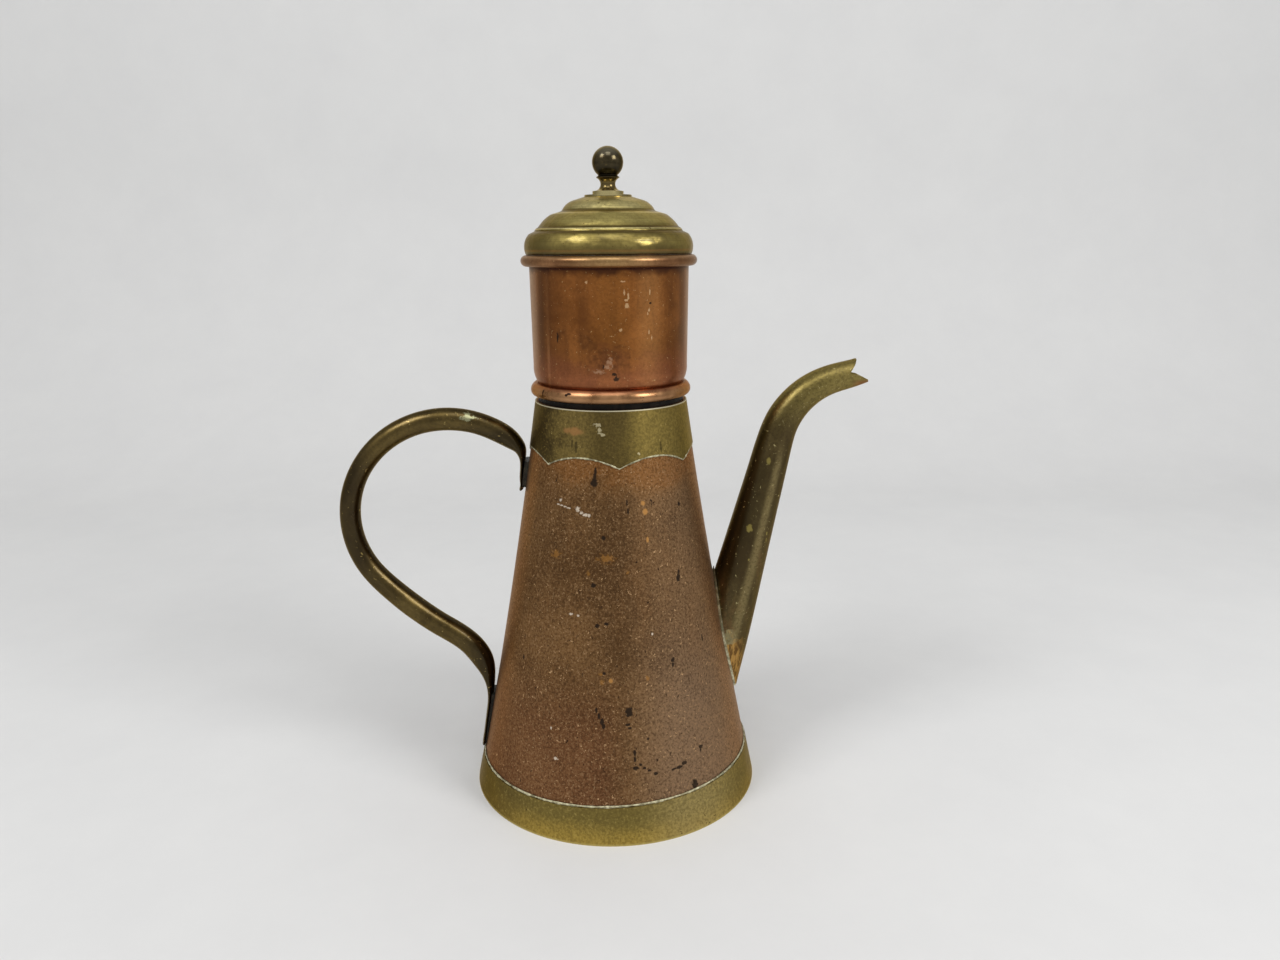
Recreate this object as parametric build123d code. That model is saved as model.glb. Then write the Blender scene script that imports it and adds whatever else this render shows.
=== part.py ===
from build123d import *
import math
import os

os.makedirs("parts", exist_ok=True)

# A drip coffee pot of sheet copper and brass, 293 mm high. The frame: +Z up, the origin on the pot's
# own axis at its foot, the spout toward +X, the handle toward -X. All lengths are millimetres.

# Pot: a copper cone whose side is one long, very slightly hollow arc.
FOOT_R = 66.4
WAIST_R, WAIST_Z = 47.2, 100.0
MOUTH_R, MOUTH_Z = 33.5, 184.2
SHEET = 0.9
SOLDER_GAP = 0.05

# Brass band round the foot. Its upper edge was cut a little askew, higher on the spout's side.
BAND_T = 0.85
BAND_TOP_Z = 16.3
BAND_TILT = 1.6
BAND_SOLDER_W, BAND_SOLDER_T = 1.1, 0.5

# Pot bottom: a flat disc with a turned-up rim inside the foot.
BOTTOM_T = 1.2
BOTTOM_RIM_H = 6.0

# Brass collar round the mouth, with seven scallops along its lower edge.
COLLAR_T = 0.55
SCALLOPS = 7
FIRST_CUSP_AZ = 4.8
CUSP_Z, ARCH_Z = 160.3, 164.6
COLLAR_SOLDER_W, COLLAR_SOLDER_T = 0.8, 0.35

# Spout: centre line of a straight run, one bend and a straight end, in the plane Y = 0.
SPOUT_START = (46.2, 46.2)
SPOUT_LEAN = 13.8
SPOUT_RUN = 122.6
SPOUT_BEND_R, SPOUT_BEND = 37.2, 60.4
SPOUT_END_RUN = 24.0
SPOUT_HALF = ((0, 13.6), (34, 12.4), (69, 10.6), (93, 9.5), (118, 8.4), (157, 6.7), (186, 5.7))
SPOUT_WIDTH = ((0, 5.5), (16, 10.0), (34, 11.6), (69, 10.6), (93, 9.5), (118, 8.4), (157, 6.7), (186, 5.7))
SPOUT_SHEET = 0.8
SPOUT_FOOT_Z = 42.2
SPOUT_SOLDER = 1.0
MOUTH_CUT = ((109.5, 206.0), (110.7, 200.9), (109.4, 198.4), (107.5, 195.7), (108.9, 194.3),
             (112.4, 193.6), (115.6, 192.0), (116.7, 190.2), (117.5, 184.0), (150.0, 184.0), (150.0, 206.0))

# Strainer holes punched through the pot's wall behind the spout.
STRAINER_HOLE_R = 1.8
STRAINER_ROWS, STRAINER_STEP_Z, STRAINER_STEP_Y = 7, 6.5, 6.0
STRAINER_FIRST_Z = 57.0

# Handle: a round brass tube, flattened at both ends, in the plane Y = 0. It starts at the foot of
# the upper tab and runs up, round and down. Arcs are (radius, turn in degrees, + toward +X). Half
# thicknesses are (distance from the start, mm): the hand-bent tube is a little oval on its way.
HANDLE_START = (-41.7, 143.3)
HANDLE_LEAN = 4.0
HANDLE_TAB_RUN, HANDLE_END_RUN = 13.5, 22.6
HANDLE_ARCS = ((8.9, -53.1), (46.9, -103.2), (44.3, -70.4), (161.9, -15.4), (33.5, 67.2))
TUBE_R, TUBE_WALL = 5.1, 0.9
TAB_HALF_W, TAB_HALF_T = 7.0, 0.95
HANDLE_HALF = ((0, TAB_HALF_T), (12, TAB_HALF_T), (16, 2.0), (24, 4.3), (31, 4.9), (55, 5.2), (105, 4.7),
               (130, 4.7), (180, 5.5), (222, 5.4), (228, 3.8), (238, 1.5), (246, TAB_HALF_T),
               (300, TAB_HALF_T))

# Pads of solder under the tabs: (middle in X, lower and upper end in Z), how far they stand out and
# half their width.
UPPER_PAD = (-40.0, 144.5, 156.5)
LOWER_PAD = (-62.0, 16.0, 42.0)
PAD_OUT = 2.0
PAD_HALF_W = 5.2

# Filter section: a copper cylinder with a wired rim, a half-round bead and a tapered slip sleeve.
FILTER_SHEET = 0.7
FILTER_FOOT = (32.6, 192.5)
FILTER_CORNER = (33.95, 195.9)
FILTER_LOW = (34.3, 200.0)
FILTER_TOP = (34.9, 243.6)
RIM_R, RIM_Z = 36.1, 245.1
ROLL_R, WIRE_R = 2.4, 1.65
SLEEVE_T = 0.8
SLEEVE_FOOT = (31.5, 170.0)
SLEEVE_SEAT = (32.5, 184.2)
SLEEVE_TOP = (33.4, 192.3)
BEAD_T = 0.7
BEAD_TOP_Z = 193.7
BEAD_ROLL = ((35.0, 193.1), (34.65, 192.0))
BEAD_BULGE = ((35.8, 189.6), (34.3, 186.8))

# Perforated filter plate, with a turned-down rim soldered inside the sleeve.
PLATE_R, PLATE_Z, PLATE_T, PLATE_RIM = 31.9, 191.5, 0.8, 3.8
PLATE_HOLE_R, PLATE_RINGS, PLATE_PITCH = 0.75, 8, 3.7

# Tamper: a perforated disc on a rod with a turned knob.
TAMPER_R, TAMPER_Z, TAMPER_T = 31.4, 192.6, 0.8
TAMPER_HOLE_R, TAMPER_RINGS, TAMPER_PITCH = 1.3, 4, 6.6
TAMPER_FOOT_R, TAMPER_FOOT_H = 4.6, 0.9
ROD_R, ROD_TOP_Z = 1.5, 221.5
TAMPER_KNOB_R, TAMPER_NECK_R, TAMPER_NECK_H = 4.2, 2.6, 1.5

# Spreader: a shallow perforated dish hung by its lip on the filter's rim, under the lid.
DISH_R, DISH_FLOOR_Z, DISH_T = 33.3, 235.0, 0.5
LIP_R, LIP_Z = 35.2, 247.4
DISH_HOLE_R, DISH_RINGS, DISH_PITCH = 1.1, 5, 5.4
BUTTON_FOOT_R, BUTTON_WAIST_R, BUTTON_CROWN_R, BUTTON_H = 2.6, 1.9, 3.6, 4.2
RIVET_R, RIVET_HEAD_R, RIVET_HEAD_H = 1.2, 2.3, 0.65
WASHER_R, WASHER_T = 3.4, 0.55

# Lid: a spun brass dome. Corners and crowns of its outer side from the rim to the top.
LID_SHEET = 0.6
LID_BULGE = ((36.1, 247.65), (36.75, 251.2), (34.6, 256.3))
LID_RIDGE = ((32.2, 257.4), (31.7, 258.3), (30.7, 259.0))
LID_STEP = ((30.3, 259.4), (28.4, 261.7), (25.0, 264.4))
LID_LEDGE = (20.6, 265.7)
LID_CROWN = ((20.0, 266.2), (18.4, 268.4), (15.3, 270.2))
LID_TOP = (10.4, 271.7)
LID_RING_R, LID_RING_Z = 35.7, 248.2
LID_SLEEVE_R, LID_SLEEVE_FOOT_Z = 32.4, 240.0
LID_PLATE_R = 10.2
LID_PLATE_Z = 271.8

# Lid knob: a turned foot, waist, sharp collar and ball, with a stud and a nut inside the lid.
KNOB_FOOT_R, KNOB_FOOT_Z = 6.7, 272.5
KNOB_WAIST_R, KNOB_WAIST_Z = 3.2, 277.3
KNOB_COLLAR_R, KNOB_COLLAR_Z = 4.95, 279.5
KNOB_BALL_R, KNOB_TOP_Z = 6.7, 292.6
KNOB_FOOT_H, KNOB_SHOULDER_R, KNOB_NECK_R = 1.5, 5.2, 4.2
STUD_R, STUD_LOW_Z = 1.9, 266.8
NUT_FLATS, NUT_H = 7.0, 2.4


def cone_edge(inset, z_low, z_high):
    """The pot's side between two heights, drawn inward from the outer face by inset."""
    whole = ThreePointArc((FOOT_R - inset, 0), (WAIST_R - inset, WAIST_Z), (MOUTH_R - inset, MOUTH_Z))
    return whole.trim(z_share(whole, z_low), z_share(whole, z_high))


def z_share(arc, z):
    """How far along the pot's side, from 0 at the foot to 1 at the mouth, the height z lies."""
    low, high = 0.0, 1.0
    for _ in range(40):
        middle = (low + high) / 2
        if (arc @ middle).Y < z:
            low = middle
        else:
            high = middle
    return (low + high) / 2


def turned(*edges):
    """Revolves a closed outline, drawn as (radius, height), about the pot's axis."""
    face = make_face(Curve() + list(edges))
    upright = Plane.XZ * face
    return revolve(upright, Axis.Z)


def ring(outer, inner, z_low, z_high):
    """A plain flat ring or, with no inner radius, a disc."""
    body = Pos(0, 0, (z_low + z_high) / 2) * Cylinder(outer, z_high - z_low)
    if inner:
        body -= Pos(0, 0, (z_low + z_high) / 2) * Cylinder(inner, z_high - z_low + 2)
    return body


def cone_shell(outset_in, outset_out, z_low, z_high):
    """A skin on the outside of the pot's cone, between two distances out from its face."""
    inner = cone_edge(-outset_in, z_low, z_high)
    outer = cone_edge(-outset_out, z_low, z_high)
    return turned(inner, outer, Line(inner @ 0, outer @ 0), Line(inner @ 1, outer @ 1))


def filled_cone(outset):
    """The pot's cone as one solid, a little longer than the pot at its foot."""
    side = cone_edge(-outset, 0, MOUTH_Z)
    foot, mouth = side @ 0, side @ 1
    return turned(side, Line(mouth, (0, mouth.Y)), Line((0, mouth.Y), (0, 0)), Line((0, 0), foot))


def chain(start, lean, moves):
    """Stations along a path in the plane Y = 0, as (distance, x, z, lean from upright in degrees).

    A move is (length, turn, stations). A turn bends the move into one arc, + toward +X.
    """
    distance = 0.0
    x, z = start
    stations = [(distance, x, z, lean)]
    for length, turn, count in moves:
        for _ in range(count):
            step, bend = length / count, turn / count
            half = math.radians(bend / 2)
            chord = step * (math.sin(half) / half if half else 1.0)
            heading = math.radians(lean + bend / 2)
            x += chord * math.sin(heading)
            z += chord * math.cos(heading)
            lean += bend
            distance += step
            stations.append((distance, x, z, lean))
    return stations


def section(station, half_w, half_t):
    """An oval across the path: half_w along Y and half_t in the plane of the path."""
    _, x, z, lean = station
    along = (math.sin(math.radians(lean)), 0, math.cos(math.radians(lean)))
    return Plane(origin=(x, 0, z), x_dir=(0, 1, 0), z_dir=along) * Ellipse(half_w, half_t)


def between(value, knots):
    """Reads a value off a list of (place, value) knots, in straight lines."""
    for (a, va), (b, vb) in zip(knots, knots[1:]):
        if value <= b:
            return va + (vb - va) * (value - a) / (b - a)
    return knots[-1][1]


def hole_rings(radius, rings, pitch, z_low, z_high):
    """Holes on rings about the axis, six more on each ring than on the one inside it."""
    holes = []
    for k in range(1, rings + 1):
        count = 6 * k
        for i in range(count):
            angle = 360 * (i + 0.5 * (k % 2)) / count
            place = Pos(0, 0, (z_low + z_high) / 2) * Rot(0, 0, angle) * Pos(k * pitch, 0, 0)
            holes.append(place * Cylinder(radius, z_high - z_low + 2))
    return holes


def write(part, name):
    export_step(part, f"parts/{name}.step")


def arch_cutter(drop):
    """Seven round arches that scallop the collar's lower edge, lowered by drop."""
    pitch = 360 / SCALLOPS
    reach = (MOUTH_R + 3.6) * math.sin(math.radians(pitch / 2))
    rise = ARCH_Z - CUSP_Z
    arch_r = (reach ** 2 + rise ** 2) / (2 * rise)
    cutter = []
    for k in range(SCALLOPS):
        azimuth = FIRST_CUSP_AZ + (k + 0.5) * pitch
        barrel = Pos(45, 0, ARCH_Z - arch_r - drop) * Rot(0, 90, 0) * Cylinder(arch_r, 50)
        cutter.append(Rot(0, 0, azimuth - 90) * barrel)
    return cutter


def pot_body():
    outer = cone_edge(0, 0, MOUTH_Z)
    inner = cone_edge(SHEET, 0, MOUTH_Z)
    body = turned(outer, inner, Line(outer @ 0, inner @ 0), Line(outer @ 1, inner @ 1))
    holes = []
    for row in range(STRAINER_ROWS):
        columns = (-1, 0, 1) if row % 2 == 0 else (-0.5, 0.5)
        for column in columns:
            z = STRAINER_FIRST_Z + row * STRAINER_STEP_Z
            holes.append(Pos(50, column * STRAINER_STEP_Y, z) * Rot(0, 90, 0) * Cylinder(STRAINER_HOLE_R, 60))
    return body - holes


def pot_bottom():
    inset = SHEET + SOLDER_GAP
    wall = cone_edge(inset, 0, BOTTOM_RIM_H)
    inner = cone_edge(inset + BOTTOM_T, BOTTOM_T, BOTTOM_RIM_H)
    return turned(
        Line((0, 0), wall @ 0), wall, Line(wall @ 1, inner @ 1), inner,
        Line(inner @ 0, (0, BOTTOM_T)), Line((0, BOTTOM_T), (0, 0)))


def band_plane(rise):
    """The askew plane of the foot band's upper edge, raised by rise."""
    tilt = math.radians(BAND_TILT)
    return Plane(origin=(0, 0, BAND_TOP_Z + rise), z_dir=(-math.sin(tilt), 0, math.cos(tilt)))


def base_band():
    skin = cone_shell(SOLDER_GAP, SOLDER_GAP + BAND_T, 0, BAND_TOP_Z + 6)
    return split(skin, bisect_by=band_plane(0), keep=Keep.BOTTOM)


def base_band_solder():
    skin = cone_shell(SOLDER_GAP, SOLDER_GAP + BAND_SOLDER_T, 0, BAND_TOP_Z + 8)
    above = split(skin, bisect_by=band_plane(SOLDER_GAP), keep=Keep.TOP)
    return split(above, bisect_by=band_plane(BAND_SOLDER_W), keep=Keep.BOTTOM)


def collar():
    skin = cone_shell(SOLDER_GAP, SOLDER_GAP + COLLAR_T, CUSP_Z, MOUTH_Z)
    return skin - arch_cutter(0)


def collar_solder():
    skin = cone_shell(SOLDER_GAP, SOLDER_GAP + COLLAR_SOLDER_T, CUSP_Z - COLLAR_SOLDER_W, ARCH_Z)
    covered = cone_shell(0, 3, CUSP_Z, MOUTH_Z) - arch_cutter(0)
    return skin - arch_cutter(COLLAR_SOLDER_W) - covered


def spout_stations():
    bend_length = math.radians(SPOUT_BEND) * SPOUT_BEND_R
    moves = ((SPOUT_RUN, 0, 8), (bend_length, SPOUT_BEND, 5), (SPOUT_END_RUN, 0, 2))
    return chain(SPOUT_START, SPOUT_LEAN, moves)


def spout_core(grow):
    """The spout's outer form, grown or shrunk all round, and carried on below its foot."""
    faces = []
    for station in spout_stations():
        half_w = between(station[0], SPOUT_WIDTH) + grow
        half_t = between(station[0], SPOUT_HALF) + grow
        faces.append(section(station, half_w, half_t))
    return loft(faces)


def spout_mouth_cutter():
    outline = make_face(Polyline(*MOUTH_CUT, close=True))
    return extrude(Plane.XZ * outline, 20, both=True)


def spout():
    tube = spout_core(0) - spout_core(-SPOUT_SHEET)
    tube -= filled_cone(SOLDER_GAP)
    tube -= Pos(0, 0, SPOUT_FOOT_Z - 50) * Box(300, 300, 100)
    tube -= spout_mouth_cutter()
    return tube


def spout_solder():
    collar_form = spout_core(SPOUT_SOLDER) & cone_shell(SOLDER_GAP, SPOUT_SOLDER, 40.0, 130.0)
    return collar_form - spout_core(SOLDER_GAP)


def handle_stations():
    moves = [(HANDLE_TAB_RUN, 0, 3)]
    for radius, turn in HANDLE_ARCS:
        length = math.radians(abs(turn)) * radius
        moves.append((length, turn, max(2, round(length / 9))))
    moves.append((HANDLE_END_RUN, 0, 4))
    return chain(HANDLE_START, HANDLE_LEAN, moves)


def handle():
    """A tube drawn flat at both ends: its thickness falls and its width grows toward each tab."""
    grown = TAB_HALF_W - TUBE_R
    outer, inner = [], []
    for station in handle_stations():
        half_t = between(station[0], HANDLE_HALF)
        flattened = (TUBE_R - half_t) / (TUBE_R - TAB_HALF_T)
        half_w = max(half_t, TUBE_R + grown * flattened)
        outer.append(section(station, half_w, half_t))
        if half_t > 0.8 * TUBE_R:
            inner.append(section(station, half_w - TUBE_WALL, half_t - TUBE_WALL))
    return loft(outer) - loft(inner)


def tab_solder(pad):
    """The pad of solder that fills the hollow between a flat tab and the round pot."""
    x_mid, z_low, z_high = pad
    block = Pos(x_mid, 0, (z_low + z_high) / 2) * Box(16, 2 * PAD_HALF_W, z_high - z_low)
    return block & cone_shell(SOLDER_GAP, PAD_OUT, z_low - 4, z_high + 4)


def filter_cylinder():
    """The copper cup's wall: turned in at its foot, rolled over a wire at its rim."""
    foot, corner, low, top = FILTER_FOOT, FILTER_CORNER, FILTER_LOW, FILTER_TOP
    t = FILTER_SHEET
    outer = (ThreePointArc(foot, corner, low), Line(low, top))
    inner = (ThreePointArc((foot[0] - t, foot[1]), (corner[0] - t, corner[1]), (low[0] - t, low[1])),
             Line((low[0] - t, low[1]), (top[0] - t, top[1])))
    wall = turned(*outer, *inner, Line(foot, (foot[0] - t, foot[1])), Line(top, (top[0] - t, top[1])))
    roll = Pos(0, 0, RIM_Z) * Torus(RIM_R, ROLL_R)
    return wall + roll - Pos(0, 0, RIM_Z) * Torus(RIM_R, WIRE_R + SOLDER_GAP)


def rim_wire():
    return Pos(0, 0, RIM_Z) * Torus(RIM_R, WIRE_R)


def filter_sleeve():
    foot, seat, top, t = SLEEVE_FOOT, SLEEVE_SEAT, SLEEVE_TOP, SLEEVE_T
    points = (foot, seat, top, (top[0] - t, top[1]), (seat[0] - t, seat[1]), (foot[0] - t, foot[1]))
    return turned(Polyline(*points, close=True))


def filter_bead():
    """A spun copper strip: a small roll over a larger one, closed onto the sleeve."""
    back = SLEEVE_TOP[0] + SOLDER_GAP
    top, neck, foot = (back, BEAD_TOP_Z), BEAD_ROLL[1], BEAD_BULGE[1]
    small = ThreePointArc(top, BEAD_ROLL[0], neck)
    large = ThreePointArc(neck, BEAD_BULGE[0], foot)
    solid = turned(small, large, Line(foot, (back, foot[1])), Line((back, foot[1]), top))
    hollow = ring(foot[0], 0, foot[1] + 1.1, neck[1] + 0.3) - ring(back + BEAD_T, 0, foot[1], BEAD_TOP_Z)
    return solid - hollow


def filter_plate():
    disc = ring(PLATE_R, 0, PLATE_Z, PLATE_Z + PLATE_T)
    rim = ring(PLATE_R, PLATE_R - PLATE_T, PLATE_Z - PLATE_RIM, PLATE_Z + PLATE_T)
    holes = hole_rings(PLATE_HOLE_R, PLATE_RINGS, PLATE_PITCH, PLATE_Z, PLATE_Z + PLATE_T)
    return disc + rim - holes


def tamper_disc():
    disc = ring(TAMPER_R, 0, TAMPER_Z, TAMPER_Z + TAMPER_T)
    return disc - hole_rings(TAMPER_HOLE_R, TAMPER_RINGS, TAMPER_PITCH, TAMPER_Z, TAMPER_Z + TAMPER_T)


def tamper_rod():
    """A rod on a round foot that is soldered to the disc."""
    floor = TAMPER_Z + TAMPER_T
    foot = ring(TAMPER_FOOT_R, 0, floor, floor + TAMPER_FOOT_H)
    return foot + ring(ROD_R, 0, floor, ROD_TOP_Z + 5)


def tamper_knob():
    centre = ROD_TOP_Z + TAMPER_KNOB_R + 0.6
    ball = Pos(0, 0, centre) * Sphere(TAMPER_KNOB_R)
    neck = ring(TAMPER_NECK_R, 0, ROD_TOP_Z, ROD_TOP_Z + TAMPER_NECK_H)
    return ball + neck - ring(ROD_R + SOLDER_GAP, 0, ROD_TOP_Z - 2, ROD_TOP_Z + 5.1)


def spreader_dish():
    wall = ring(DISH_R, DISH_R - DISH_T, DISH_FLOOR_Z, LIP_Z + DISH_T)
    lip = ring(LIP_R, DISH_R - DISH_T, LIP_Z, LIP_Z + DISH_T)
    floor = ring(DISH_R, 0, DISH_FLOOR_Z, DISH_FLOOR_Z + DISH_T)
    holes = hole_rings(DISH_HOLE_R, DISH_RINGS, DISH_PITCH, DISH_FLOOR_Z, DISH_FLOOR_Z + DISH_T)
    stem = ring(RIVET_R + SOLDER_GAP, 0, DISH_FLOOR_Z - 1, DISH_FLOOR_Z + 2)
    return wall + lip + floor - holes - stem


def spreader_knob():
    """A small turned button, its stem peened over under the dish."""
    floor = DISH_FLOOR_Z + DISH_T
    centre = floor + BUTTON_H
    foot, crown = (BUTTON_FOOT_R, floor), (BUTTON_CROWN_R, centre + 1.2)
    head_r = math.hypot(crown[0], crown[1] - centre)
    shoulder, top = (head_r * math.sqrt(0.5), centre + head_r * math.sqrt(0.5)), (0, centre + head_r)
    waist = ThreePointArc(foot, (BUTTON_WAIST_R, floor + 2.2), crown)
    head = ThreePointArc(crown, shoulder, top)
    stem = DISH_FLOOR_Z - WASHER_T - 2 * SOLDER_GAP
    peened = stem - RIVET_HEAD_H
    rivet = Polyline(top, (0, peened), (RIVET_HEAD_R, peened), (RIVET_HEAD_R, stem), (RIVET_R, stem),
                     (RIVET_R, floor), foot)
    return turned(waist, head, rivet)


def spreader_washer():
    top = DISH_FLOOR_Z - SOLDER_GAP
    return ring(WASHER_R, RIVET_R + SOLDER_GAP, top - WASHER_T, top)


def lid_line(t):
    """The lid's section from its rim to its top, drawn in by t along its own slope."""
    def inward(point, before, after):
        slope = math.atan2(after[1] - before[1], after[0] - before[0])
        return (point[0] - t * math.sin(slope), point[1] + t * math.cos(slope))

    points = [*LID_BULGE, *LID_RIDGE, *LID_STEP, LID_LEDGE, *LID_CROWN, LID_TOP, (0.0, LID_TOP[1])]
    moved = []
    for i, point in enumerate(points):
        before = points[max(0, i - 1)]
        after = points[min(len(points) - 1, i + 1)]
        moved.append(inward(point, before, after))
    moved[0] = (LID_BULGE[0][0] - t, LID_BULGE[0][1])
    moved[-1] = (0.0, LID_TOP[1] - t)
    bulge, ridge, step, ledge, crown, top = (
        moved[0:3], moved[3:6], moved[6:9], moved[9], moved[10:13], moved[13:15])
    return [
        ThreePointArc(*bulge), Line(bulge[2], ridge[0]), ThreePointArc(*ridge), Line(ridge[2], step[0]),
        ThreePointArc(*step), Line(step[2], ledge), Line(ledge, crown[0]), ThreePointArc(*crown),
        Line(crown[2], top[0]), Line(top[0], top[1])]


def lid_dome():
    outer, inner = lid_line(0), lid_line(LID_SHEET)
    shell = turned(
        *outer, *inner, Line(outer[0] @ 0, inner[0] @ 0), Line(outer[-1] @ 1, inner[-1] @ 1))
    return shell - ring(STUD_R + 0.1, 0, STUD_LOW_Z, KNOB_FOOT_Z)


def lid_sleeve():
    """A flat ring inside the lid's rim and a sleeve that drops into the dish."""
    top = LID_RING_Z + LID_SHEET
    flat = ring(LID_RING_R, LID_SLEEVE_R - LID_SHEET, LID_RING_Z, top)
    return flat + ring(LID_SLEEVE_R, LID_SLEEVE_R - LID_SHEET, LID_SLEEVE_FOOT_Z, top)


def knob_plate():
    return ring(LID_PLATE_R, STUD_R + 0.1, LID_PLATE_Z, KNOB_FOOT_Z - SOLDER_GAP)


def lid_knob():
    foot_top = KNOB_FOOT_Z + KNOB_FOOT_H
    shoulder = (KNOB_SHOULDER_R, foot_top + 0.3)
    neck = (KNOB_NECK_R, KNOB_COLLAR_Z + 0.9)
    centre_z = KNOB_TOP_Z - KNOB_BALL_R
    ball_foot_z = centre_z - math.sqrt(KNOB_BALL_R ** 2 - neck[0] ** 2)
    side = (
        Line((0, KNOB_FOOT_Z), (KNOB_FOOT_R, KNOB_FOOT_Z)),
        Line((KNOB_FOOT_R, KNOB_FOOT_Z), (KNOB_FOOT_R, foot_top)),
        Line((KNOB_FOOT_R, foot_top), shoulder),
        ThreePointArc(shoulder, (KNOB_WAIST_R, KNOB_WAIST_Z), (KNOB_COLLAR_R, KNOB_COLLAR_Z)),
        Line((KNOB_COLLAR_R, KNOB_COLLAR_Z), (KNOB_COLLAR_R, KNOB_COLLAR_Z + 0.4)),
        Line((KNOB_COLLAR_R, KNOB_COLLAR_Z + 0.4), neck),
        Line(neck, (neck[0], ball_foot_z)),
        ThreePointArc((neck[0], ball_foot_z), (KNOB_BALL_R, centre_z), (0, KNOB_TOP_Z)),
        Line((0, KNOB_TOP_Z), (0, KNOB_FOOT_Z)))
    return turned(*side) + ring(STUD_R, 0, STUD_LOW_Z, KNOB_FOOT_Z + 1)


def knob_nut():
    top = LID_TOP[1] - LID_SHEET - 0.05
    prism = extrude(RegularPolygon(NUT_FLATS / 2, 6, major_radius=False), NUT_H)
    return Pos(0, 0, top - NUT_H) * prism - ring(STUD_R + SOLDER_GAP, 0, top - 5, top + 1)


write(pot_body(), "pot_body")
write(pot_bottom(), "pot_bottom")
write(base_band(), "base_band")
write(base_band_solder(), "base_band_solder")
write(collar(), "collar")
write(collar_solder(), "collar_solder")
write(spout(), "spout")
write(spout_solder(), "spout_solder")
tube = handle()
write(tube, "handle")
write(tab_solder(UPPER_PAD) - tube, "handle_upper_solder")
write(tab_solder(LOWER_PAD) - tube, "handle_lower_solder")
write(filter_cylinder(), "filter_cylinder")
write(rim_wire(), "rim_wire")
write(filter_sleeve(), "filter_sleeve")
write(filter_bead(), "filter_bead")
write(filter_plate(), "filter_plate")
write(tamper_disc(), "tamper_disc")
write(tamper_rod(), "tamper_rod")
write(tamper_knob(), "tamper_knob")
write(spreader_dish(), "spreader_dish")
write(spreader_knob(), "spreader_knob")
write(spreader_washer(), "spreader_washer")
write(lid_dome(), "lid_dome")
write(lid_sleeve(), "lid_sleeve")
write(knob_plate(), "knob_plate")
write(lid_knob(), "lid_knob")
write(knob_nut(), "knob_nut")
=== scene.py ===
import math

import bpy
import numpy as np
from mathutils import Matrix, Vector


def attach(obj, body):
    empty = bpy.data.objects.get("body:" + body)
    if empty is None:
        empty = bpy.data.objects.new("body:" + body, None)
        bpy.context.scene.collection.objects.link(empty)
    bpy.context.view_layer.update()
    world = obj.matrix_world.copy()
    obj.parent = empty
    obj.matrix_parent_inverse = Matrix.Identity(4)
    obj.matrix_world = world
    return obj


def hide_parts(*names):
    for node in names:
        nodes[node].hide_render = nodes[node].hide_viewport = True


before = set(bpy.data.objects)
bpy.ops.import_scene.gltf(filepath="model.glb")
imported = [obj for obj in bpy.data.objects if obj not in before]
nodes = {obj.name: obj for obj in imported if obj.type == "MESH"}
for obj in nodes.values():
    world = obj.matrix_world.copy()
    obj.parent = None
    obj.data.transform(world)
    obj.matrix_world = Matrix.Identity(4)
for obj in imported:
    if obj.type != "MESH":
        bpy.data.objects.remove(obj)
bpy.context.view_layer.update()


# The pot's body: one sheet of copper rolled into a tall cone and brazed under the handle. Its outside has a
# thick brown patina, grained like fine leather, with chips, stains and a few bright scratches. Painted
# reflections lie over it: painted shade down the middle and in two soft patches, and paler, greyer colour
# toward the sides, the spout and low on the right. The inside was tinned and has gone grey.

def node(tree, kind, feeds=None, **settings):
    """Adds a shader node and feeds its inputs, by name or number, with values or with other outputs."""
    made = tree.nodes.new("ShaderNode" + kind)
    for name, value in settings.items():
        setattr(made, name, value)
    for key, value in (feeds or {}).items():
        if isinstance(value, bpy.types.NodeSocket):
            tree.links.new(value, made.inputs[key])
        else:
            made.inputs[key].default_value = value
    return made


def calc(tree, operation, *values):
    """One step of arithmetic on shader values."""
    return node(tree, "Math", dict(enumerate(values)), operation=operation).outputs[0]


def both(tree, one, other):
    """The product of two shares: high only where both are."""
    return calc(tree, "MULTIPLY", one, other)


def apart(tree, value, centre):
    """How far a value lies from a centre."""
    return calc(tree, "ABSOLUTE", calc(tree, "SUBTRACT", value, centre))


def wander(tree, value, clouds, reach):
    """A value moved up or down by half of reach at most, where noise from 0 to 1 is high or low."""
    return calc(tree, "MULTIPLY_ADD", calc(tree, "SUBTRACT", clouds, 0.5), reach, value)


def split(tree, vector):
    """The x, y and z of a vector."""
    return node(tree, "SeparateXYZ", {0: vector}).outputs[:3]


def fade(tree, value, low, high, start=0.0, end=1.0):
    """start below low, end above high, and a soft S-shaped rise or fall between them."""
    feeds = {0: value, 1: low, 2: high, 3: start, 4: end}
    return node(tree, "MapRange", feeds, interpolation_type="SMOOTHSTEP").outputs[0]


def coats(tree, ground, *layers):
    """Lays colours over a ground colour in turn. Each layer is (its share from 0 to 1, its colour)."""
    for share, colour in layers:
        ground = node(tree, "Mix", {0: share, 6: ground, 7: colour}, data_type="RGBA").outputs[2]
    return ground


def noise(tree, place, size, detail=3.0, roughness=0.5, warp=0.0):
    """Soft noise from 0 to 1 whose patches are about size metres across."""
    feeds = {"Vector": place, "Scale": 1 / size, "Detail": detail, "Roughness": roughness, "Distortion": warp}
    return node(tree, "TexNoise", feeds).outputs[0]


def drawn_out(tree, place, x, y, z):
    """The place with each axis scaled, so that a pattern is drawn out along an axis scaled down."""
    return node(tree, "VectorMath", {0: place, 1: (x, y, z)}, operation="MULTIPLY").outputs[0]


def flecks(tree, place, size, rarity):
    """Small flecks of uneven shape, about size metres across. They thin out as rarity nears 1."""
    return fade(tree, noise(tree, place, size, 2, 0.65, 0.8), rarity, rarity + 0.03)


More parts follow.
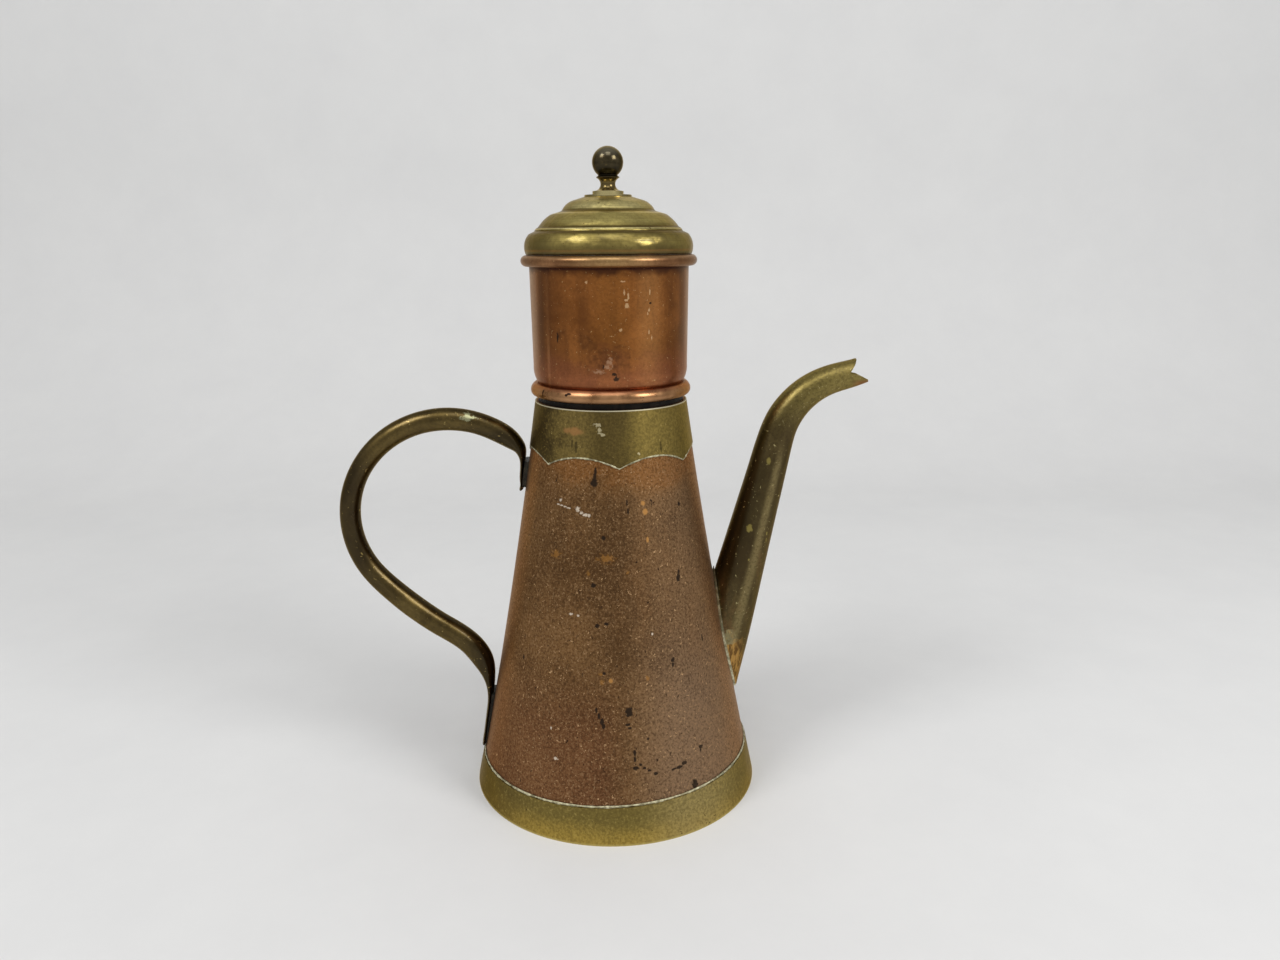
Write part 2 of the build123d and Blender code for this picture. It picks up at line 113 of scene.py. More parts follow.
def marks(tree, place, radius, spots, share=1.0, rag=0.9, grain=0.0016, soft=0.2):
    """Ragged marks on a round wall: share inside and 0 outside, with an edge as soft as asked.

    A spot is (azimuth in degrees, height, half width, half height in mm). radius is the wall's radius in
    mm, or a function that gives it at a height. The distance to the nearest spot, counted in the spot's
    own half sizes, is roughened by noise with patches of grain metres.
    """
    nearest = None
    for azimuth, height, wide, tall in spots:
        angle, r = math.radians(azimuth), radius(height) if callable(radius) else radius
        centre = (r * math.cos(angle), r * math.sin(angle), height)
        grow = (1000 / wide, 1000 / wide, 1000 / tall)
        shift = tuple(-c * g / 1000 for c, g in zip(centre, grow))
        away = node(tree, "VectorMath", {0: place, 1: grow, 2: shift}, operation="MULTIPLY_ADD").outputs[0]
        away = node(tree, "VectorMath", {0: away}, operation="LENGTH").outputs[1]
        nearest = away if nearest is None else calc(tree, "MINIMUM", nearest, away)
    ragged = calc(tree, "MULTIPLY_ADD", noise(tree, place, grain, 3, 0.6), rag, nearest)
    outline = 1.25 + rag / 2
    return fade(tree, ragged, outline - 0.1 - soft, outline, share, 0)


def relief(tree, *levels):
    """Bumps laid one on another. Each level is (its height from 0 to 1, its depth in metres)."""
    bumps = None
    for height, depth in levels:
        feeds = {"Height": height, "Distance": depth}
        if bumps:
            feeds["Normal"] = bumps
        bumps = node(tree, "Bump", feeds).outputs[0]
    return bumps


def rgb(r, g, b):
    """A colour as it looks, 0 to 255, as the linear values that a shader takes."""
    return tuple(((c / 255 + 0.055) / 1.055) ** 2.4 for c in (r, g, b)) + (1.0,)


def finish(name, edge=(1, 1, 1, 1)):
    """A new material: its node tree, its shader with the tint of its edges, and the object's coordinates."""
    material = bpy.data.materials.new(name)
    material.use_nodes = True
    tree = material.node_tree
    tree.nodes["Principled BSDF"].inputs["Specular Tint"].default_value = edge
    return material, tree, tree.nodes["Principled BSDF"], node(tree, "TexCoord").outputs["Object"]


def wire_up(tree, shader, **outputs):
    """Links outputs, or sets values, on the shader's sockets. Underscores stand for spaces."""
    for name, value in outputs.items():
        socket = shader.inputs[name.replace("_", " ")]
        if isinstance(value, bpy.types.NodeSocket):
            tree.links.new(value, socket)
        else:
            socket.default_value = value


def dress(name, material):
    """Gives a CAD node its finish, and smooths its facets where they meet at less than 25 degrees."""
    piece = nodes[name]
    piece.data.materials.clear()
    piece.data.materials.append(material)
    piece.data.polygons.foreach_set("use_smooth", np.ones(len(piece.data.polygons), bool))
    weld = piece.modifiers.new("weld", "WELD")
    weld.merge_threshold = 2e-6
    crease = piece.modifiers.new("crease", "EDGE_SPLIT")
    crease.split_angle = math.radians(25)


def facing_in(tree, place):
    """1 where a wall faces the pot's axis and 0 where it faces outward."""
    outward = drawn_out(tree, place, 1, 1, 0)
    normal = node(tree, "NewGeometry").outputs["Normal"]
    dot = node(tree, "VectorMath", {0: normal, 1: outward}, operation="DOT_PRODUCT").outputs[1]
    return calc(tree, "LESS_THAN", dot, -1e-4)


def grey_tin(tree, place):
    """The colour of old hot-wiped tin: dull grey, streaked, brown where it has worn through."""
    streaks = noise(tree, drawn_out(tree, place, 1, 1, 0.25), 0.012, 4, 0.6, 0.4)
    worn = noise(tree, place, 0.02, 5, 0.65)
    return coats(
        tree, rgb(128, 124, 116),
        (fade(tree, streaks, 0.3, 0.7), rgb(176, 172, 162)),
        (fade(tree, worn, 0.56, 0.7), rgb(112, 88, 66)))


copper_edge = (0.85, 0.55, 0.32, 1)  # the tint of copper's reflections where it is seen edge on


def cone_radius(z):
    """The pot wall's radius at a height, in mm: a straight cone made very slightly hollow."""
    foot, slope, hollow = 66.4, 0.2079, 0.000159
    return foot - slope * z + hollow * z * z


def pot_patina():
    material, tree, shader, place = finish("pot_patina", copper_edge)
    x, y, z = split(tree, place)
    clouds = noise(tree, place, 0.045, 4, 0.55, 0.3)
    upright = noise(tree, drawn_out(tree, place, 1, 1, 0.12), 0.008, 3, 0.5)
    grain = noise(tree, place, 0.001, 4, 0.7)
    fibre = noise(tree, drawn_out(tree, place, 1, 1, 0.35), 0.0007, 3, 0.6, 0.6)
    half_width = calc(tree, "MULTIPLY_ADD", z, -0.18, 0.066)
    side = calc(tree, "DIVIDE", calc(tree, "ABSOLUTE", x), half_width)
    heated = wander(tree, z, clouds, 0.06)
    low_right_sheen = both(tree, fade(tree, x, 0.0, 0.03, 0, 0.42), fade(tree, z, 0.05, 0.1, 1, 0.2))
    low_left = both(tree, fade(tree, x, -0.01, 0.01, 0.4, 0), fade(tree, z, 0.04, 0.08, 1, 0))
    shade = marks(tree, place, cone_radius, (
        (-88, 86, 8, 22), (100, 80, 9, 20)), share=0.35, rag=1.5, grain=0.006, soft=1.2)
    amber = marks(tree, place, cone_radius, (
        (-94, 122.2, 3.4, 2.0), (-124.7, 122.3, 2.2, 1.8), (-104, 115.6, 0.8, 1.2), (-82, 116.3, 0.9, 0.9),
        (-96.6, 73.3, 0.9, 1.0), (-96, 69.8, 1.0, 0.9), (-74.5, 70.5, 0.9, 1.1), (70, 120, 4, 3),
        (130, 60, 3, 4), (20, 150, 3, 3)), share=0.55, rag=3.5, grain=0.0014, soft=0.8)
    drops = marks(tree, place, cone_radius, (
        (-70.9, 144.9, 1.0, 1.0), (-69.9, 141.3, 1.3, 1.3), (-69.5, 129.3, 0.6, 1.4), (-91.9, 70.4, 0.9, 1.0),
        (85, 90, 1.0, 1.2)), share=0.8, rag=0.8, grain=0.0011, soft=0.5)
    chips = marks(tree, place, cone_radius, (
        (-101.6, 154.1, 1.5, 1.6), (-101.2, 157, 0.7, 1.6), (-100.8, 159.2, 0.5, 1.5),
        (-81.1, 145.6, 0.35, 1.9), (-80.6, 142, 0.35, 1.7), (-43.7, 141.8, 0.8, 0.8),
        (-95.4, 131, 0.8, 0.8), (-100.9, 110.8, 1.0, 0.9), (-51.6, 110.6, 1.0, 1.7),
        (-50.8, 112.8, 0.5, 1.2), (-98.7, 93.7, 1.0, 0.8), (-94, 94.5, 0.8, 0.7),
        (-98.6, 57.6, 0.45, 1.3), (-97.4, 55.2, 0.5, 1.4), (-96, 52.8, 0.9, 1.2), (-95.3, 51, 0.7, 1.2),
        (-83.9, 56.7, 1.4, 2.1), (-84.6, 51.4, 0.9, 0.6), (-83.8, 49.9, 0.7, 0.5), (-82, 39, 0.6, 1.6),
        (-82.1, 36.2, 0.5, 1.4), (-81.8, 32.5, 1.3, 0.8), (-79.8, 33.8, 0.6, 0.6),
        (-78.2, 32.2, 0.8, 0.5), (-76.2, 30.8, 0.8, 0.5), (-73.5, 29, 0.9, 0.7), (-65.4, 29.2, 1.0, 0.5),
        (-62.7, 29.4, 1.4, 0.7), (-60.2, 30.4, 1.3, 0.8), (-50.5, 34.8, 1.1, 0.8),
        (-50.9, 33.2, 0.5, 0.9), (-56.1, 19.9, 1.4, 2.0), (-60.5, 76.2, 1.0, 0.9), (-60.8, 74, 0.5, 1.1),
        (-39.2, 81, 0.5, 1.9), (-95.1, 73.5, 0.6, 0.6), (-141.3, 73.3, 0.5, 1.0), (-76, 44.5, 0.5, 0.5),
        (95, 70, 1.8, 2.4), (60, 95, 1.4, 2.2), (120, 130, 1.0, 2.0), (25, 45, 2.0, 1.4),
        (160, 100, 1.2, 1.8), (80, 30, 2.2, 1.2)), rag=1.6, grain=0.0011, soft=0.25)
    scratches = marks(tree, place, cone_radius, (
        (-125.8, 143.7, 0.9, 0.3), (-123.2, 143.4, 0.9, 0.3), (-120.6, 143.1, 0.9, 0.3),
        (-118, 142.7, 0.9, 0.3), (-124, 145.6, 0.7, 0.7), (-111.7, 142.6, 1.0, 1.0), (-109, 141.2, 0.9, 0.6),
        (-106.8, 140.4, 1.1, 0.6), (-104.4, 140.2, 0.6, 0.7), (-112.9, 97.8, 0.9, 0.5),
        (-108.9, 97.5, 0.5, 0.5), (-70.6, 89, 0.5, 0.5), (-116.3, 34.7, 1.0, 0.6), (-119.7, 47.2, 0.4, 0.8),
        (75, 62, 1.6, 0.5), (110, 140, 0.8, 1.8)), share=0.92, rag=2.6, grain=0.0008, soft=0.5)
    seam = both(tree, fade(tree, calc(tree, "ABSOLUTE", y), 0.0003, 0.0009, 0.7, 0),
                calc(tree, "LESS_THAN", x, 0.0))
    colour = coats(
        tree, rgb(86, 60, 34),
        (fade(tree, clouds, 0.32, 0.66), rgb(122, 90, 56)),  # paler in broad clouds
        (fade(tree, x, -0.01, 0.04, 0, 0.45), rgb(124, 98, 72)),  # painted reflection, greyer toward the spout
        (fade(tree, apart(tree, x, -0.002), 0.002, 0.016, 0.3, 0), rgb(62, 42, 24)),  # painted shade down the middle
        (fade(tree, upright, 0.5, 0.72, 0, 0.3), rgb(126, 90, 54)),  # pale upright streaks
        (fade(tree, side, 0.8, 0.93, 0, 0.45), rgb(138, 92, 48)),  # painted reflections, redder, then paler, toward the sides
        (fade(tree, side, 0.92, 0.985, 0, 0.4), rgb(164, 140, 116)),
        # a painted reflection of the right lamp, paler low on the right
        (low_right_sheen, rgb(146, 122, 100)),
        (low_left, rgb(128, 82, 56)),
        (fade(tree, heated, 0.145, 0.166, 0, 0.4), rgb(150, 100, 50)),  # warmer, from the soldering
        (fade(tree, heated, 0.156, 0.161, 0, 0.2), rgb(150, 92, 40)),
        (fade(tree, grain, 0.38, 0.52, 0.55, 0), rgb(52, 34, 20)),  # dark pores and pale grains
        (fade(tree, grain, 0.52, 0.66, 0, 0.65), rgb(148, 116, 82)),
        (fade(tree, fibre, 0.6, 0.72, 0, 0.5), rgb(168, 138, 102)),  # short pale fibres
        (flecks(tree, place, 0.0011, 0.655), rgb(190, 154, 112)),
        (flecks(tree, drawn_out(tree, place, 1, 1, 0.7), 0.0019, 0.69), rgb(44, 32, 24)),
        # painted shade in two soft dark patches, front and back
        (shade, rgb(58, 37, 18)),
        (amber, rgb(166, 116, 56)),
        (drops, rgb(190, 138, 76)),
        (both(tree, chips, 0.92), rgb(34, 28, 24)),
        (scratches, rgb(214, 200, 180)),
        (seam, rgb(150, 126, 78)),
        (facing_in(tree, place), grey_tin(tree, place)))
    bumps = relief(tree, (noise(tree, place, 0.03, 2), 0.0005), (grain, 0.00005), (fibre, 0.00002),
                   (calc(tree, "MULTIPLY", chips, -1.0), 0.00012))
    wire_up(tree, shader, Base_Color=colour, Roughness=fade(tree, grain, 0.35, 0.65, 0.5, 0.38),
            Metallic=0.72, Normal=bumps)
    return material


dress("pot_body", pot_patina())


# The pot's bottom: a flat copper disc with a turned-up rim, tinned on the inside like the wall. The side
# that stands on the table is bare and rubbed.

def faces_toward(tree):
    """The x, y and z of the direction that the surface faces."""
    return split(tree, node(tree, "NewGeometry").outputs["Normal"])


def bottom_copper():
    material, tree, shader, place = finish("bottom_copper", copper_edge)
    rubs = noise(tree, place, 0.02, 5, 0.6, 1.0)
    inside = calc(tree, "GREATER_THAN", faces_toward(tree)[2], -0.5)
    colour = coats(
        tree, rgb(96, 62, 40),
        (fade(tree, rubs, 0.4, 0.65), rgb(150, 98, 66)),
        (inside, grey_tin(tree, place)))
    wire_up(tree, shader, Base_Color=colour, Roughness=fade(tree, rubs, 0.3, 0.7, 0.5, 0.34),
            Metallic=0.85, Normal=relief(tree, (noise(tree, place, 0.004, 3), 0.00006)))
    return material


dress("pot_bottom", bottom_copper())


# The foot band: a strip of brass bent round the foot and soldered on, its upper edge cut by eye. It is
# olive where it meets the copper and rubbed yellow toward the table.

brass_edge = (0.85, 0.68, 0.4, 1)  # the tint of brass's reflections where it is seen edge on


def band_brass():
    material, tree, shader, place = finish("band_brass", brass_edge)
    x, _, z = split(tree, place)
    clouds = noise(tree, place, 0.02, 4, 0.6, 0.3)
    grain = noise(tree, place, 0.0012, 2, 0.7)
    pale_right_sheen = both(tree, fade(tree, x, 0.005, 0.032, 0, 0.65), fade(tree, x, 0.04, 0.058, 1, 0.35))
    colour = coats(
        tree, rgb(172, 146, 70),
        (fade(tree, wander(tree, z, clouds, 0.01), 0.002, 0.012), rgb(126, 110, 58)),  # olive above
        (fade(tree, x, -0.064, -0.03, 0.8, 0), rgb(70, 59, 40)),  # dark by the handle
        # a painted reflection of the right lamp, paler to the right
        (pale_right_sheen, rgb(166, 148, 96)),
        (fade(tree, x, 0.045, 0.06, 0, 0.45), rgb(86, 80, 62)),  # dull by the spout
        (fade(tree, grain, 0.35, 0.6, 0.4, 0), rgb(74, 60, 34)),  # dark and pale grains
        (fade(tree, grain, 0.55, 0.78, 0, 0.5), rgb(188, 166, 98)),
        (flecks(tree, place, 0.0024, 0.69), rgb(62, 50, 32)),
        (fade(tree, z, 0.0003, 0.0012, 0.6, 0), rgb(196, 178, 112)))  # worn along the lower edge
    wire_up(tree, shader, Base_Color=colour, Roughness=fade(tree, clouds, 0.3, 0.7, 0.3, 0.42),
            Metallic=0.9, Normal=relief(tree, (noise(tree, place, 0.016, 2), 0.00035), (grain, 0.00004)))
    return material


dress("base_band", band_brass())


# Soft solder runs along the band's edge, under the collar's scallops and up the spout's seam: pale grey and
# lumpy, with some green from the flux. Under the handle's tabs it is painted nearly black, as painted shade
# in the gaps behind the tabs.

def old_solder(name, dark, light, flux):
    material, tree, shader, place = finish(name)
    lumps = noise(tree, place, 0.0022, 3, 0.6)
    stained = fade(tree, noise(tree, place, 0.007, 4, 0.6), 0.52, 0.68, 0, 0.4)
    colour = coats(tree, dark, (fade(tree, lumps, 0.35, 0.65), light), (stained, flux))
    wire_up(tree, shader, Base_Color=colour, Roughness=0.48,
            Metallic=0.55, Normal=relief(tree, (lumps, 0.00015)))
    return material


def scallop_edge(azimuth):
    """The height in mm of the collar's lower edge: seven equal arches that meet in points.

    Each arch is an arc of one circle. At an angle from the arch's middle the edge lies 37.1 sin(angle) mm to
    the side, and has come down the circle from 164.6 mm, by 4.3 mm at the points.
    """
    scallops, wall, drop, top, one_point = 7, 37.1, 4.3, 164.6, math.radians(-85.2)
    pitch = 2 * math.pi / scallops
    reach = wall * math.sin(pitch / 2)
    arc = (reach ** 2 + drop ** 2) / (2 * drop)
    off_centre = (azimuth - one_point) % pitch - pitch / 2
    return top - arc + np.sqrt(arc ** 2 - (wall * np.sin(off_centre)) ** 2)


def band_edge(azimuth):
    """The height in mm of the foot band's upper edge: a plane that rises 1.6 degrees toward the spout."""
    middle, wall, slant = 16.3, 63.5, math.radians(1.6)
    return middle + wall * math.tan(slant) * np.cos(azimuth)


def ring(name, azimuth, r, z):
    """A closed ring round the pot's axis: a section of points r, z in mm, carried round by azimuth.

    Rows of the arrays follow the azimuth. Columns go round the section, and down its outer side, so that
    the faces point outwards. The last row and column join up with the first.
    """
    points = np.stack([r * np.cos(azimuth), r * np.sin(azimuth), z], -1).reshape(-1, 3) / 1000
    rows, columns = r.shape
    i, j = np.meshgrid(np.arange(rows), np.arange(columns), indexing="ij")
    ahead, beside = (i + 1) % rows, (j + 1) % columns
    corners = (i * columns + j, i * columns + beside, ahead * columns + beside, ahead * columns + j)
    mesh = bpy.data.meshes.new(name)
    mesh.from_pydata(points.tolist(), [], np.stack(corners, -1).reshape(-1, 4).tolist())
    mesh.polygons.foreach_set("use_smooth", np.ones(len(mesh.polygons), bool))
    piece = bpy.data.objects.new(name, mesh)
    bpy.context.scene.collection.objects.link(piece)
    return piece


def solder_bead(name, line, tall, thick, waves):
    """A lumpy bead of solder round the pot.

    Its section is an oval, tall by thick, that rests on the cone: at angle v, z = line + tall cos v / 2 and
    r = cone + gap + thick (1 + sin v) / 2. Both sizes swell along the bead by a sum of sine waves.
    """
    steps, sides, gap = 900, 12, 0.06
    azimuth = np.linspace(0, 2 * math.pi, steps, endpoint=False)[:, None]
    v = np.linspace(0, 2 * math.pi, sides, endpoint=False)[None]
    swell = 1 + sum(size * np.sin(count * azimuth + start) for size, count, start in waves)
    z = line(azimuth) + tall * swell * np.cos(v) / 2
    return ring(name, azimuth, cone_radius(z) + gap + thick * swell * (1 + np.sin(v)) / 2, z)


pale_solder = old_solder("pale_solder", rgb(128, 120, 92), rgb(204, 198, 164), rgb(92, 104, 78))
# painted shade: the solder in the gaps behind the handle's tabs is painted nearly black
shade_dark_solder = old_solder("shade_dark_solder", rgb(22, 19, 15), rgb(58, 52, 40), rgb(40, 42, 32))
dress("spout_solder", pale_solder)
collar_bead = solder_bead("collar_bead", lambda azimuth: scallop_edge(azimuth) - 0.35, tall=0.85, thick=0.5,
                          waves=((0.17, 23, 0.4), (0.14, 61, 1.9), (0.1, 143, 0.8)))
band_bead = solder_bead("band_bead", lambda azimuth: band_edge(azimuth) + 0.4, tall=1.0, thick=0.6,
                        waves=((0.16, 19, 1.1), (0.13, 53, 0.2), (0.1, 127, 2.6)))
for bead, stands_for in ((collar_bead, "collar_solder"), (band_bead, "base_band_solder")):
    bead.data.materials.append(pale_solder)
    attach(bead, "pot")
    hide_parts(stands_for)
for pad in ("handle_upper_solder", "handle_lower_solder"):
    dress(pad, shade_dark_solder)


# The collar: a band of brass round the mouth, scalloped below in seven arches that end in points. It is dark
# olive by the handle and golden toward the spout, a painted reflection, darker in front as painted shade, and
# stained with copper where it was once reheated. A painted highlight runs along its upper edge.

def collar_radius(z):
    """The collar's outer radius at a height, in mm: it lies on the cone and is 0.6 mm thick."""
    mouth, slope, top, thick = 33.5, 0.155, 184.2, 0.6
    return mouth + slope * (top - z) + thick


def collar_brass():
    material, tree, shader, place = finish("collar_brass", brass_edge)
    x, _, z = split(tree, place)
    clouds = noise(tree, place, 0.018, 4, 0.6, 0.4)
    grain = noise(tree, place, 0.0011, 2, 0.7)
    side = wander(tree, x, clouds, 0.05)
    stain = marks(tree, place, collar_radius, (
        (-116, 175.2, 4.2, 1.9), (-121, 175.3, 3.0, 1.2), (60, 172, 6, 3), (150, 176, 3, 2)),
        share=0.7, rag=1.2, grain=0.003, soft=0.7)
    runs = marks(tree, place, collar_radius, (
        (-114.4, 169, 0.6, 3.2), (-117.5, 170, 0.4, 2.2), (-55, 168, 0.5, 2.6), (100, 170, 0.6, 3)),
        share=0.6, rag=0.8)
    scuffs = marks(tree, place, collar_radius, (
        (-99.5, 178.4, 1.4, 0.7), (-97.9, 175.8, 0.8, 1.3), (-96, 174.3, 0.9, 0.5), (-72, 166, 0.5, 0.5),
        (40, 178, 1.4, 0.6)), share=0.7, rag=4.0, grain=0.001, soft=0.4)
    colour = coats(
        tree, rgb(70, 58, 33),
        (fade(tree, side, -0.028, -0.014), rgb(122, 104, 58)),  # paler away from the handle
        # golden toward the spout, a painted reflection
        (fade(tree, side, 0.0, 0.02), rgb(130, 112, 58)),
        (fade(tree, grain, 0.35, 0.6, 0.38, 0), rgb(50, 42, 24)),  # dark and pale grains
        (fade(tree, grain, 0.52, 0.75, 0, 0.42), rgb(150, 128, 70)),
        (flecks(tree, place, 0.001, 0.69), rgb(180, 158, 98)),
        (fade(tree, calc(tree, "ABSOLUTE", x), 0.004, 0.014, 0.55, 0), rgb(64, 52, 26)),  # painted shade in front
        (stain, rgb(168, 122, 74)),
        (runs, rgb(40, 34, 22)),
        (scuffs, rgb(200, 188, 150)),
        (fade(tree, z, 0.18365, 0.18395), rgb(208, 200, 172)))  # a painted highlight along the upper edge
    wire_up(tree, shader, Base_Color=colour, Roughness=fade(tree, clouds, 0.3, 0.7, 0.36, 0.5),
            Metallic=0.82, Normal=relief(tree, (noise(tree, place, 0.014, 2), 0.0003), (grain, 0.00004)))
    return material


dress("collar", collar_brass())


# The spout: a brass tube, tapered, bent over at the top and notched to a beak. Its foot is cut aslant and
# soldered over the holes in the pot's wall. The brass is olive brown with small bright flecks, and was
# scraped clean round the solder. Painted shade darkens the tube where its wall turns away from the front and
# on its side toward the pot, and a painted highlight streak runs down it.

def film(shader, weight, roughness):
    """A thin clear film of old wax or lacquer, which gives the metal its pale highlights."""
    shader.inputs["Coat Weight"].default_value = weight
    shader.inputs["Coat Roughness"].default_value = roughness


def spout_brass():
    material, tree, shader, place = finish("spout_brass", brass_edge)
    x, _, z = split(tree, place)
    clouds = noise(tree, drawn_out(tree, place, 1, 1, 0.3), 0.012, 4, 0.6, 0.3)
    grain = noise(tree, place, 0.0012, 3, 0.7)
    facing = calc(tree, "ABSOLUTE", faces_toward(tree)[1])
    # across is 0 on the leaning tube's middle line, -1 on its side toward the pot and 1 on its far side
    lean_cos, lean_sin, foot_height, foot_reach = 0.971, 0.2385, 0.0462, 0.0449
    level_part = calc(tree, "MULTIPLY_ADD", x, lean_cos, -foot_reach)
    off_line = calc(tree, "MULTIPLY_ADD", calc(tree, "SUBTRACT", z, foot_height), -lean_sin, level_part)
    tube_radius = calc(tree, "MULTIPLY_ADD", z, -0.044, 0.0156)
    across = calc(tree, "DIVIDE", off_line, tube_radius)
    dark_upper = both(tree, fade(tree, z, 0.105, 0.13, 0, 0.5), fade(tree, z, 0.15, 0.168, 1, 0))
    off_streak = apart(tree, across, 0.3)
    highlight_streak = both(tree, fade(tree, off_streak, 0.03, 0.3, 0.6, 0), fade(tree, z, 0.15, 0.165, 1, 0))
    red_clouds = both(tree, fade(tree, z, 0.09, 0.13, 1, 0), fade(tree, clouds, 0.5, 0.62, 0, 0.4))
    upper_reach, lower_reach = 71.6, 63.4  # mm from the pot's axis to the front of the tube
    worn_above = marks(tree, place, upper_reach, (
        (-6.8, 156, 0.9, 1.5), (-6.5, 121.4, 0.4, 0.9), (-6.3, 117.8, 0.5, 1.2), (-7.0, 139.2, 0.4, 0.9)),
        share=0.6, rag=1.5, grain=0.0012, soft=0.4)
    worn_below = marks(tree, place, lower_reach, (
        (-8.8, 124.7, 1.4, 1.7), (-9.4, 109.7, 0.5, 0.6)), share=0.6, rag=1.5, grain=0.0012, soft=0.4)
    foot = wander(tree, z, noise(tree, place, 0.006, 4, 0.6), 0.03)
    pot_wall = calc(tree, "MULTIPLY_ADD", z, -0.19, 0.0655)
    from_wall = calc(tree, "SUBTRACT", x, pot_wall)
    scraped = both(tree, fade(tree, foot, 0.071, 0.074, 0.85, 0), fade(tree, from_wall, 0.004, 0.01, 1, 0))
    streaks = noise(tree, drawn_out(tree, place, 1, 1, 0.2), 0.0016, 3, 0.6)
    gold = coats(tree, rgb(104, 72, 34), (fade(tree, streaks, 0.4, 0.6), rgb(186, 142, 74)))
    bloom = both(tree, fade(tree, foot, 0.069, 0.072), fade(tree, foot, 0.073, 0.076, 1, 0))
    bloom = both(tree, bloom, fade(tree, from_wall, 0.001, 0.008, 0.6, 0))
    lip = both(tree, fade(tree, x, 0.107, 0.1135), fade(tree, z, 0.1905, 0.1925, 1, 0))
    colour = coats(
        tree, rgb(66, 54, 31),
        (fade(tree, clouds, 0.35, 0.65), rgb(96, 82, 50)),
        (fade(tree, facing, 0.3, 0.85, 0.55, 0), rgb(56, 44, 26)),  # painted shade where the wall turns away
        (fade(tree, across, -0.9, -0.4, 0.6, 0), rgb(42, 34, 20)),  # painted shade on the side toward the pot
        (dark_upper, rgb(44, 35, 18)),
        # a painted highlight streak down the tube
        (highlight_streak, rgb(142, 126, 84)),
        (red_clouds, rgb(112, 78, 50)),
        (fade(tree, z, 0.165, 0.195, 0, 0.6), rgb(154, 138, 76)),  # golden over the bend
        (fade(tree, grain, 0.38, 0.52, 0.4, 0), rgb(56, 46, 28)),
        (flecks(tree, place, 0.0012, 0.68), rgb(182, 168, 118)),
        (worn_above, rgb(166, 150, 80)),
        (worn_below, rgb(166, 150, 80)),
        (scraped, gold),
        (bloom, rgb(150, 146, 108)),
        (lip, rgb(134, 92, 58)))
    film(shader, 0.1, 0.2)
    wire_up(tree, shader, Base_Color=colour, Roughness=fade(tree, clouds, 0.3, 0.7, 0.32, 0.42),
            Metallic=0.9, Normal=relief(tree, (noise(tree, place, 0.014, 2), 0.0004), (grain, 0.00004)))
    return material


dress("spout", spout_brass())


# The handle: a round brass tube bent by hand into a loop, flattened at both ends and soldered on. It is
# painted darker where its wall turns away from the front and at the back of the loop, as painted shade, and
# is nearly black where it was hammered flat.

def handle_brass():
    material, tree, shader, place = finish("handle_brass", brass_edge)
    x, _, z = split(tree, place)
    clouds = noise(tree, place, 0.016, 4, 0.6, 0.4)
    grain = noise(tree, place, 0.0012, 2, 0.7)
    facing = calc(tree, "ABSOLUTE", faces_toward(tree)[1])
    flattened = both(tree, fade(tree, x, -0.078, -0.062, 0, 0.75), fade(tree, z, 0.168, 0.176, 1, 0))
    upper_bend = 64.5  # mm from the pot's axis
    bloom = marks(tree, place, upper_bend, (
        (-176.5, 178.4, 1.5, 1.3), (-175.7, 176.2, 1.2, 1.0), (-176, 176.8, 3.2, 0.9)),
        share=0.85, rag=3.5, grain=0.0012, soft=0.5)
    colour = coats(
        tree, rgb(76, 62, 31),
        (fade(tree, clouds, 0.35, 0.68), rgb(104, 87, 47)),
        (fade(tree, facing, 0.2, 0.85, 0.85, 0), rgb(36, 28, 16)),  # painted shade where the wall turns away
        (fade(tree, x, -0.118, -0.1, 0.7, 0), rgb(42, 33, 20)),  # painted shade at the back of the loop
        (flattened, rgb(38, 31, 20)),
        (fade(tree, grain, 0.35, 0.6, 0.3, 0), rgb(54, 44, 24)),
        (flecks(tree, place, 0.0018, 0.68), rgb(160, 138, 82)),
        (bloom, rgb(168, 168, 130)))
    film(shader, 0.18, 0.16)
    wire_up(tree, shader, Base_Color=colour, Roughness=fade(tree, clouds, 0.3, 0.7, 0.27, 0.36),
            Metallic=0.95, Normal=relief(tree, (noise(tree, place, 0.012, 2), 0.0003), (grain, 0.00003)))
    return material


dress("handle", handle_brass())
